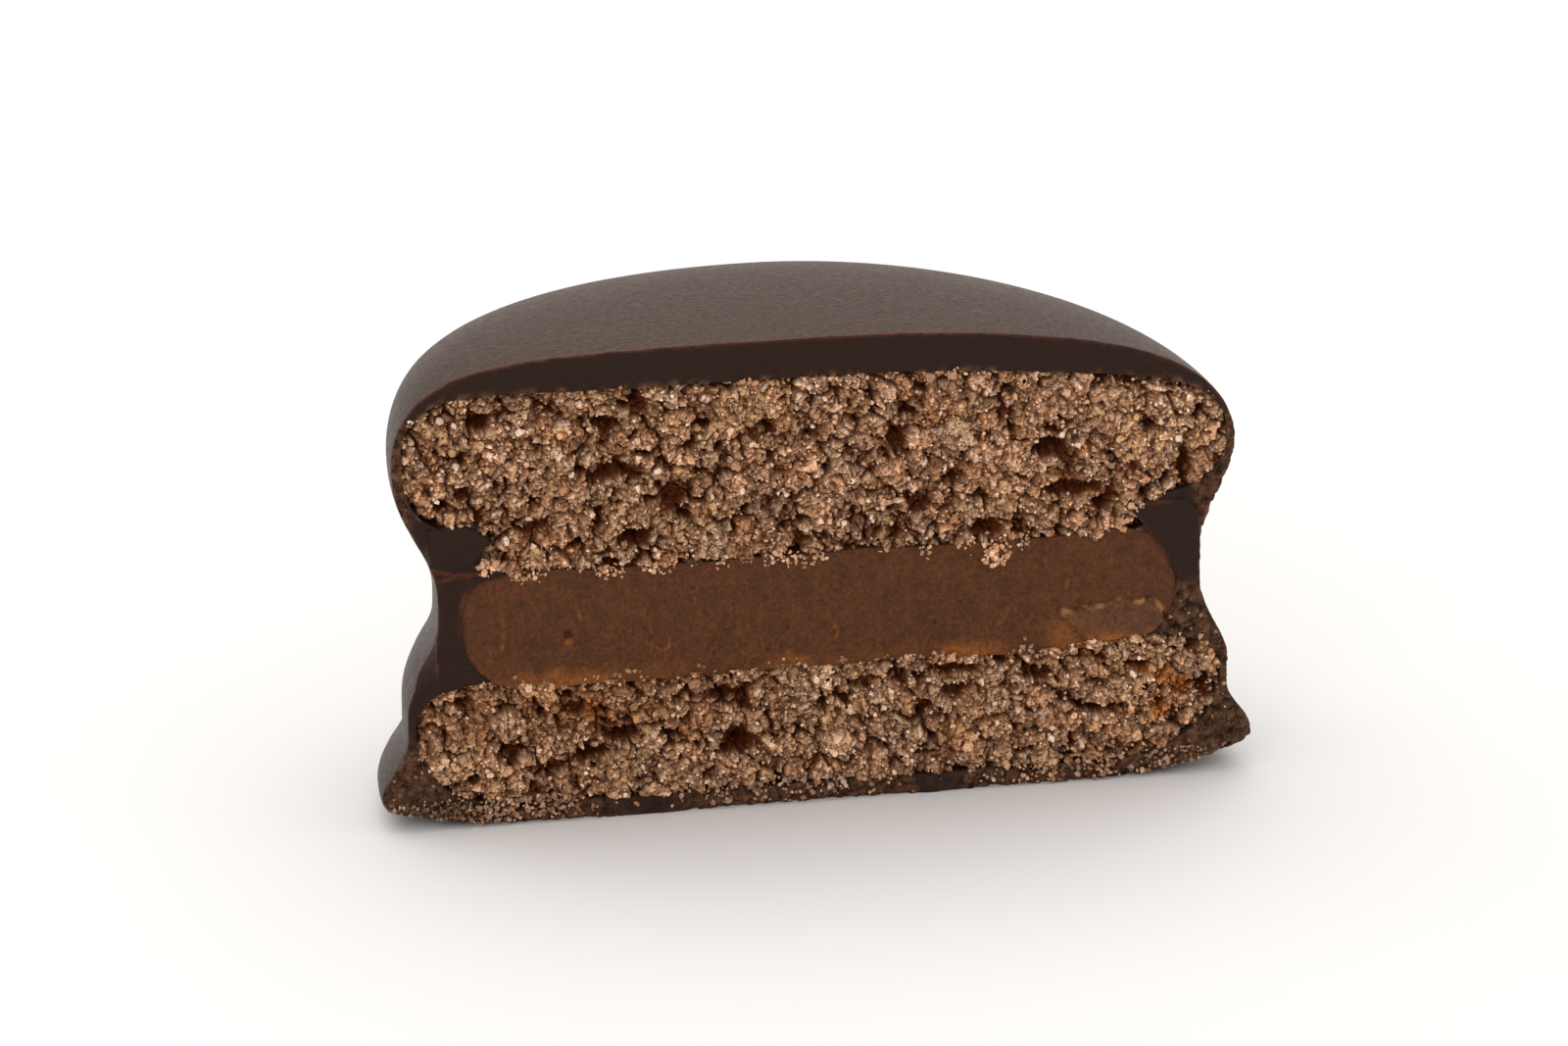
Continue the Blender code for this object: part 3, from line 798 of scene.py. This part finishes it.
def crumb_colours(x, z, depth, draw, seed):
    """Each clump has one of a few browns and each grain its own strength; the gaps and deeper places get
    painted shade, darker and redder, the brightest grains are paled as sugar and painted glints, and the
    lower biscuit's left end gets painted shade.
    """
    _, _, _, clump = cells_of(*bent(x, z, seed), CLUMP, seed)
    kind = ((clump[1] + 0.12 * draw) % 1.0 * len(CRUMB_COLOURS)).astype(int)
    strength = (0.86 + 0.3 * clump[2]) * (0.45 + 0.52 * draw + 0.42 * draw**4)
    # Painted shade: the deeper the place, the darker
    strength *= 1.16 - 0.28 * rise(0.05, 0.75, depth)
    colour = CRUMB_COLOURS[kind] * strength[:, None]
    # The brightest grains are paled: partly sugar, partly painted glints
    sugar_and_glint = 0.8 * smooth_step(0.66, 0.95, draw)[:, None]
    colour = colour * (1.0 - sugar_and_glint) + SUGAR_AND_GLINT_COLOUR * sugar_and_glint
    for spot_x, spot_z, radius in CARAMEL_PLACES:
        away = np.hypot(x / MM - spot_x, z / MM - spot_z) / radius
        share = 0.9 * (1.0 - smooth_step(0.6, 1.3, away))[:, None]
        colour = colour * (1.0 - share) + CARAMEL_BIT * (0.5 + 0.6 * draw[:, None]) * share
    # Painted shade on the lower biscuit's left end, below the filling
    shade_x, shade_z, half_width, half_height = PAINTED_SHADE_PLACE
    left_end_shade = np.exp(-(((x / MM - shade_x) / half_width) ** 4) - ((z / MM - shade_z) / half_height) ** 4)
    colour = colour * (1.0 - left_end_shade[:, None] * PAINTED_SHADE_LOSS)
    # Painted shade in the deep pits and holes
    down = rise(0.5, 1.4, depth)[:, None]
    return colour * (1.0 - down) + PAINTED_CRUMB_SHADE * down


def rough_shapes(subdivisions, count, seed):
    """Small broken crumbs as unit point sets that share their faces: jagged balls with flats cut on them."""
    body = bmesh.new()
    bmesh.ops.create_icosphere(body, subdivisions=subdivisions, radius=1.0)
    base = np.array([v.co[:] for v in body.verts])
    faces = np.array([[v.index for v in f.verts] for f in body.faces])
    body.free()
    draws = np.random.default_rng(seed)
    shapes = []
    for number in range(count):
        shift = Vector((3.7 * number, seed, 1.3))
        swell = [1.0 + 0.5 * noise.noise(Vector(p) * 1.9 + shift) for p in base]
        points = base * (np.array(swell) * draws.uniform(0.8, 1.15, len(base)))[:, None]
        for _ in range(FLATS):
            facing = draws.normal(size=3)
            facing /= np.linalg.norm(facing)
            over = np.maximum(points @ facing - draws.uniform(0.4, 0.8), 0.0)
            points = points - over[:, None] * facing
        shapes.append(points)
    return np.array(shapes), faces


def turns(count, draws):
    """Random rotation matrices."""
    q = draws.normal(size=(count, 4))
    q /= np.linalg.norm(q, axis=1)[:, None]
    w, x, y, z = q.T
    rows = [
        [1 - 2 * (y * y + z * z), 2 * (x * y - z * w), 2 * (x * z + y * w)],
        [2 * (x * y + z * w), 1 - 2 * (x * x + z * z), 2 * (y * z - x * w)],
        [2 * (x * z - y * w), 2 * (y * z + x * w), 1 - 2 * (x * x + y * y)],
    ]
    return np.moveaxis(np.array(rows), 2, 0)


def grain_piece(name, centres, radii, colours, material, subdivisions, seed):
    """One mesh of many broken crumbs, each with its own turn, stretch and colour."""
    draws = np.random.default_rng(seed)
    shapes, faces = rough_shapes(subdivisions, GRAIN_SHAPES, seed)
    count = len(centres)
    shape = shapes[draws.integers(0, len(shapes), count)]
    stretch = draws.uniform(0.7, 1.3, (count, 1, 3))
    points = np.einsum("nij,nkj->nki", turns(count, draws), shape * stretch)
    points = points * radii[:, None, None] + centres[:, None, :]
    points[:, :, 1] = np.maximum(points[:, :, 1], CRUMB_FRONT + 0.005 * MM)
    per_shape = shape.shape[1]
    all_faces = (faces[None] + (np.arange(count) * per_shape)[:, None, None]).reshape(-1, 3)
    mesh = new_mesh(name, points.reshape(-1, 3), all_faces.tolist())
    colour_points(mesh, "tone", np.repeat(colours, per_shape, axis=0))
    mesh.materials.append(material)
    piece = new_object(name, mesh)
    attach(piece, "root")


def inside_loop(x, z, loop):
    """Which points lie inside a closed loop."""
    inside = np.zeros(x.shape, bool)
    for (ax, az), (bx, bz) in zip(loop, np.roll(loop, -1, axis=0)):
        if az == bz:
            continue
        crosses = (az > z) != (bz > z)
        inside ^= crosses & (x < ax + (z - az) * (bx - ax) / (bz - az))
    return inside


def make_biscuit(name, node, outline, floor, top, pits, seed, material):
    shown = smooth_outline(grown(outline, FIT_GAP - SHOWN_GAP))
    biscuit = turned(name, shown, INNER_STEPS)
    loop = section_of(shown)
    side = DOME_RADIUS + 1.0 * MM
    margin = 1.5 * MM
    area = (-side, side, floor - margin, top + margin)
    x, z = cut_grid(*area, CRUMB_CELL)
    ground, gap_shade = crumb_ground(x, z, pits, seed)
    frayed = smooth_step(-0.2, 0.6, value_noise(x, z, 1.1, seed + 7))
    ground += 0.5 * MM * frayed * bell(distance_to(x, z, loop), 0.3 * MM)
    subtract(biscuit, relief_block(x, z, CRUMB_FRONT + ground))

    points = vertices_of(biscuit.data)
    px, pz = points[:, 0], points[:, 2]
    places = bent(px, pz, seed)
    grains = [
        cells_of(*places, kind[0] * MM, seed + FACET_SEED + number)[3][1]
        for number, kind in enumerate(CRUMB_FACETS)
    ]
    draw = 0.7 * grains[1] + 0.3 * grains[2]
    tone = crumb_colours(px, pz, points[:, 1] - CRUMB_FRONT, draw, seed)
    # Painted shade in the gaps between clumps and facets
    shut = at_grid(points, x, z, gap_shade)[0][:, None]
    colour_points(biscuit.data, "tone", tone * (1.0 - 0.7 * shut) + 0.7 * shut * PAINTED_CRUMB_SHADE)
    biscuit.data.materials.append(material)
    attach(biscuit, "root")
    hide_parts(node)

    for kind, (pitch, smallest, largest, share, subdivisions) in GRAIN_KINDS.items():
        px, pz, draws = spread(*area, pitch * MM, seed + subdivisions)
        radii = (smallest + (largest - smallest) * draws.random(px.size) ** 2) * MM
        ragged = np.maximum(0.15, 0.75 * value_noise(px, pz, 1.3, seed + 10)) * MM
        near = inside_loop(px, pz, loop) | (distance_to(px, pz, loop) < ragged - radii)
        under = at_grid(np.column_stack([px, px, pz]), x, z, ground)[0]
        depths = under + radii * draws.uniform(-0.8, 0.4, px.size)
        keep = near & (draws.random(px.size) < share)
        keep &= np.prod(broken_side(px, pz), axis=0) == 0.0
        centres = np.column_stack([px, CRUMB_FRONT + depths, pz])[keep]
        draw = draws.random(keep.sum())
        colours = crumb_colours(px[keep], pz[keep], depths[keep] - radii[keep], draw, seed)
        grain_piece(name + kind, centres, radii[keep], colours, material, subdivisions, seed + 9)


# Lumps of crumb that hang over the filling and the coat: x, z, half width and half height, in millimetres
HANGING_LUMPS = ((12.4, 17.4, 1.2, 0.9), (-23.3, 19.0, 0.9, 0.8), (21.5, 19.2, 0.7, 0.5))


def make_strays(coat_loop, material):
    """Crumbs off the biscuits: in the base coat, at both feet, and stuck along the filling's edges."""
    pitch = 0.27 * MM
    x, z, draws = spread(-30.5 * MM, 30.5 * MM, 0.15 * MM, 20.0 * MM, pitch, 77)
    radius = (0.07 + 0.14 * draws.random(x.size) ** 1.5) * MM
    patch = value_noise(x, z, 1.2, 78)
    left = fall(-18.5, -15.5, x)
    middle = rise(-9.5, -8.0, x) * fall(4.0, 6.0, x)
    right = rise(10.0, 12.0, x)
    base_share = 0.06 + 1.3 * left + 0.6 * middle + 0.8 * right
    in_base = base_share * fall(1.9, 2.3, z) * rise(0.1, 0.7, z)
    left_foot = 0.12 * rise(26.0, 27.0, -x) * fall(4.5, 6.0, z)
    right_foot = 0.15 * rise(24.0, 25.0, x) * fall(12.0, 14.0, z)
    above = bell(z - FILLING_TOP - 0.1 * MM, 0.4 * MM) * (np.abs(x + 2.0 * MM) < 20.0 * MM)
    below = bell(z - FILLING_FLOOR + 0.1 * MM, 0.4 * MM) * (np.abs(x) < 23.0 * MM)
    share = np.maximum.reduce([in_base, left_foot, right_foot]) * (0.55 + 0.25 * left + 0.9 * patch)
    radius *= (1.0 + 0.3 * (z < 2.2 * MM)) * (1.0 - 0.25 * (np.abs(x) > 25.0 * MM))
    share += (1.4 * above + 0.8 * below) * smooth_step(0.15, 0.45, patch)
    for lump_x, lump_z, half_width, half_height in HANGING_LUMPS:
        away = np.hypot((x / MM - lump_x) / half_width, (z / MM - lump_z) / half_height)
        lump = 1.0 - smooth_step(0.75, 1.0, away + 0.25 * patch)
        share += 2.0 * lump
        radius *= 1.0 + 0.7 * lump
    keep = (draws.random(x.size) < share) & inside_loop(x, z, coat_loop)
    keep &= distance_to(x, z, coat_loop) > 0.7 * radius
    x, z, radius = x[keep], z[keep], radius[keep]
    depth = CUT_Y - CRUMB_FRONT + radius * draws.uniform(-0.9, 0.5, x.size) + 0.08 * MM
    draw = 0.85 * draws.random(x.size)
    colours = crumb_colours(x, z, 0.5 * depth, draw, TOP_SEED)
    in_coat = (z < 2.2 * MM) | (np.abs(x) > 24.0 * MM)
    smeared = np.where(in_coat, 0.45 + 0.6 * draws.random(x.size), 1.0)
    smeared *= np.where((np.abs(x) > 25.5 * MM) | (np.abs(z - FILLING_FLOOR) < 0.8 * MM), 0.65, 1.0)
    centres = np.column_stack([x, CRUMB_FRONT + depth, z])
    smeared = smeared[:, None] * np.where(z[:, None] < 6.0 * MM, (0.88, 0.88, 0.95), 1.0)
    grain_piece("stray_crumbs", centres, radius, colours * smeared, material, 1, 79)


# The filling

# Small pits: x, z and radius in millimetres
PITS_IN_FILLING = (
    (-17.9, 13.6, 0.28), (-20.5, 12.0, 0.1), (8.0, 12.6, 0.12), (-9.1, 16.4, 0.14), (-2.5, 13.0, 0.1),
)
# Curved nicks: x, z and radius in millimetres, and the way that each opens
KNIFE_HOOKS = ((-11.3, 12.6, 0.5, 1.6), (-12.1, 12.8, 0.35, 1.3), (-5.0, 11.9, 0.8, 2.6))
# Longer drag lines down the cut, and the flake that the knife pulled up at the lower right
KNIFE_LINES = (
    millimetres((-22.7, 16.0), (-22.4, 14.3), (-22.6, 12.6), (-22.1, 11.3)),
    millimetres((-17.3, 15.8), (-17.0, 14.6), (-17.2, 13.9)),
    millimetres((-12.3, 14.2), (-12.0, 13.1), (-12.2, 12.0)),
    millimetres((-5.3, 13.4), (-5.0, 12.3), (-5.1, 11.4)),
    millimetres((0.8, 13.2), (1.1, 12.5), (0.9, 12.0)),
    millimetres((7.3, 13.4), (7.5, 12.4)),
    millimetres((17.6, 15.9), (17.4, 14.5)),
)
FLAKE = millimetres(
    (16.8, 12.9), (18.0, 12.7), (19.4, 13.1), (20.4, 12.9), (21.2, 13.4), (22.6, 13.1), (23.7, 13.3),
    (24.3, 12.6), (24.5, 11.4), (24.2, 10.6), (22.6, 10.4), (20.0, 10.4), (18.9, 10.5),
)
SCRATCHES = 160
# Where the filling's low edge is thin and lets light through: middle and half width
AMBER_RUNS = ((-18.1 * MM, 4.2 * MM), (10.6 * MM, 2.5 * MM), (-2.0 * MM, 1.8 * MM), (21.0 * MM, 2.5 * MM))


def filling_relief(x, z, loop):
    """The knife's surface on the filling, where the flake lies, how near its rim is, and the scratches."""
    y = CUT_Y + 0.12 * MM + 0.05 * MM * value_noise(x, z, 2.4, 31)
    y += 0.02 * MM * value_noise(x, z / 4.0, 0.35, 32)
    y += 0.12 * MM * np.exp(-distance_to(x, z, loop) / (0.25 * MM))
    scratched = np.zeros(x.shape)
    draws = np.random.default_rng(35)
    for _ in range(SCRATCHES):
        start = np.array([draws.uniform(-24.0, 22.0), draws.uniform(10.6, 17.6)]) * MM
        swing = draws.normal(0.0, 0.3)
        length = draws.uniform(0.3, 1.6) * MM
        middle = start + 0.5 * length * np.array([math.sin(swing), -math.cos(swing)])
        bend = swing + draws.normal(0.0, 0.5)
        end = middle + 0.5 * length * np.array([math.sin(bend), -math.cos(bend)])
        near = (np.abs(x - middle[0]) < 1.5 * MM) & (np.abs(z - middle[1]) < 1.5 * MM)
        away = distance_to(x[near], z[near], np.array([start, middle, end]), closed=False)
        side = draws.uniform(-0.6, 1.0)
        y[near] -= 0.25 * MM * side * bell(away, 0.1 * MM)
        scratched[near] = np.maximum(scratched[near], 0.45 * np.abs(side) * bell(away, 0.13 * MM))
    for line in KNIFE_LINES:
        away = distance_to(x, z, line, closed=False)
        broken = smooth_step(-0.4, 0.3, value_noise(x, z, 0.45, 42)) * bell(away, 0.11 * MM)
        y -= 0.16 * MM * broken
        scratched = np.maximum(scratched, 0.9 * broken)
    for hook_x, hook_z, radius, opening in KNIFE_HOOKS:
        away = np.hypot(x / MM - hook_x, z / MM - hook_z)
        turn = np.arctan2(z / MM - hook_z, x / MM - hook_x)
        shut = smooth_step(0.3, 0.6, np.abs(np.sin((turn - opening) / 2.0)))
        arc = bell(away - radius, 0.09) * shut
        y -= 0.14 * MM * arc
        scratched = np.maximum(scratched, 0.9 * arc)
    for pit_x, pit_z, radius in PITS_IN_FILLING:
        away = np.hypot(x / MM - pit_x, z / MM - pit_z) / radius
        y += 0.45 * MM * np.exp(-(away**3)) * min(1.0, radius / 0.2)
    on_flake = inside_loop(x, z, FLAKE)
    rim = distance_to(x, z, FLAKE)
    y -= 0.18 * MM * np.where(on_flake, rise(0.0, 0.15, rim), 0.0)
    y -= 0.14 * MM * bell(rim, 0.12 * MM) * (0.5 + 0.5 * value_noise(x, z, 0.5, 36))
    y += 0.15 * MM * np.where(on_flake, 0.0, bell(rim - 0.12 * MM, 0.1 * MM))
    y += on_flake * 0.14 * MM * value_noise(x, z / 6.0, 0.35, 37)
    return np.maximum(y, CRUMB_FRONT + 0.02 * MM), on_flake, rim, scratched


def make_filling(shown):
    filling = turned("filling", shown, INNER_STEPS)
    side = WAIST_RADIUS + 1.0 * MM
    margin = 1.0 * MM
    x, z = cut_grid(-side, side, FILLING_FLOOR - margin, FILLING_TOP + margin, FILLING_CELL)
    y, *fields = filling_relief(x, z, section_of(shown))
    subtract(filling, relief_block(x, z, y))

    points = vertices_of(filling.data)
    on_flake, rim, scratched = at_grid(points, x, z, *fields)
    px, pz = points[:, 0], points[:, 2]
    patch = 0.5 + 0.5 * value_noise(px, pz, 2.6, 33)
    patch = smooth_step(0.35, 0.8, patch + 0.25 * value_noise(px, pz, 0.5, 34))
    # Painted amber glow of light through the thin low edge along the amber runs; the knife's marks, the
    # corner beside the flake and the grain below the pit are amber of their own
    low = fall(0.1, 1.1, pz - FILLING_FLOOR + 0.35 * MM * value_noise(px, pz, 0.8, 38))
    runs = [bell(px - middle, half, 4) for middle, half in AMBER_RUNS]
    amber = 0.68 * low * np.maximum(np.maximum.reduce(runs), 0.3 * patch)
    amber = np.maximum(amber, 0.9 * scratched * (0.4 + 0.6 * patch))
    beside = bell(np.hypot(px / MM - 17.2, (pz / MM - 10.9) / 1.3), 1.1)
    spot = bell(np.hypot(px / MM + 17.9, pz / MM - 13.1), 0.28)
    amber = np.maximum.reduce([amber, 0.55 * beside, 0.6 * spot])[:, None]
    colour = np.where(on_flake[:, None], srgb(98, 62, 40), srgb(87, 50, 28))
    streaks = 0.08 * value_noise(px, pz / 3.0, 0.45, 40) + 0.14 * value_noise(px, pz, 0.3, 41)
    colour *= 1.0 + streaks[:, None]
    colour = colour * (1.0 - amber) + np.array(srgb(150, 88, 40)) * amber
    # Painted highlight on the flake's top rim
    rim_highlight = bell(rim, 0.14 * MM) * rise(11.5, 12.4, pz)
    rim_highlight = (0.9 * rim_highlight * smooth_step(-0.1, 0.5, value_noise(px, pz, 0.6, 39)))[:, None]
    colour = colour * (1.0 - rim_highlight) + np.array(srgb(182, 130, 80)) * rim_highlight
    colour_points(filling.data, "tone", colour)
    filling.data.materials.append(filling_material())
    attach(filling, "root")
    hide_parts("dulce_de_leche")


# Floor, light and camera

def make_stage():
    reach = 3.0
    corners = [(-reach, -reach, 0.0), (reach, -reach, 0.0), (reach, reach, 0.0), (-reach, reach, 0.0)]
    floor = new_object("floor", new_mesh("floor", corners, [(0, 1, 2, 3)]))
    material, tree, shader = shader_of("floor_white")
    feed(tree, shader, Base_Color=(0.91, 0.895, 0.885, 1.0), Roughness=0.7)
    floor.data.materials.append(material)

    world = bpy.data.worlds.new("studio")
    bpy.context.scene.world = world
    world.use_nodes = True
    tree = world.node_tree
    way = add(tree, "ShaderNodeTexCoord").outputs["Generated"]
    way_back = add(tree, "ShaderNodeSeparateXYZ", Vector=way).outputs["Y"]
    colour = mixed(tree, ranged(tree, way_back, 0.3, 0.8, 0.0, 1.0), (1.0, 0.985, 0.97), (1.0, 0.91, 0.84))
    strength = ranged(tree, way_back, -0.6, 0.8, 0.57, 0.91)
    feed(tree, tree.nodes["Background"], Color=colour, Strength=strength)


def area_light(name, place, aim, size, power):
    light = bpy.data.lights.new(name, "AREA")
    light.shape = "RECTANGLE"
    light.size, light.size_y = size
    light.energy = power
    lamp = new_object(name, light)
    lamp.location = place
    lamp.rotation_euler = (Vector(aim) - Vector(place)).to_track_quat("-Z", "Y").to_euler()


def make_lights():
    middle = (0.0, 0.0, 0.017)
    area_light("overhead", (-0.05, 0.3, 0.8), middle, (1.3, 0.9), 4.7)
    area_light("front", (-0.35, -0.75, 0.55), middle, (0.6, 0.5), 1.5)


def make_camera():
    """The photograph's view of the cut: a little from the left and from above, through a long lens."""
    azimuth = math.radians(-12.0)
    elevation = math.radians(19.0)
    lens = 180.0
    sensor = 36.0
    shown_width = 0.1107
    aim = Vector((-0.0003, -0.004, 0.0167))
    level = math.cos(elevation)
    back = Vector((math.sin(azimuth) * level, -math.cos(azimuth) * level, math.sin(elevation)))
    camera = bpy.data.cameras.new("camera")
    camera.lens = lens
    camera.clip_start = 0.01
    holder = new_object("camera", camera)
    holder.location = aim + back * (lens / sensor * shown_width)
    holder.rotation_euler = (-back).to_track_quat("-Z", "Y").to_euler()
    bpy.context.scene.camera = holder


bpy.context.scene.view_settings.view_transform = "Standard"
crumb = crumb_material()
coat = smooth_outline(outer_outline())
filling = smooth_outline(grown(filling_outline(), FIT_GAP - SHOWN_GAP))
make_coating(coat, section_of(filling))
make_chips()
for biscuit in (
    ("crumb_top", "top_biscuit", top_biscuit_outline(), TOP_FLOOR, TOP_TOP, TOP_PITS, TOP_SEED),
    (
        "crumb_bottom", "bottom_biscuit", bottom_biscuit_outline(),
        BOTTOM_FLOOR, BOTTOM_TOP, BOTTOM_PITS, BOTTOM_SEED,
    ),
):
    make_biscuit(*biscuit, crumb)
make_strays(section_of(coat), crumb)
make_filling(filling)
make_stage()
make_lights()
make_camera()
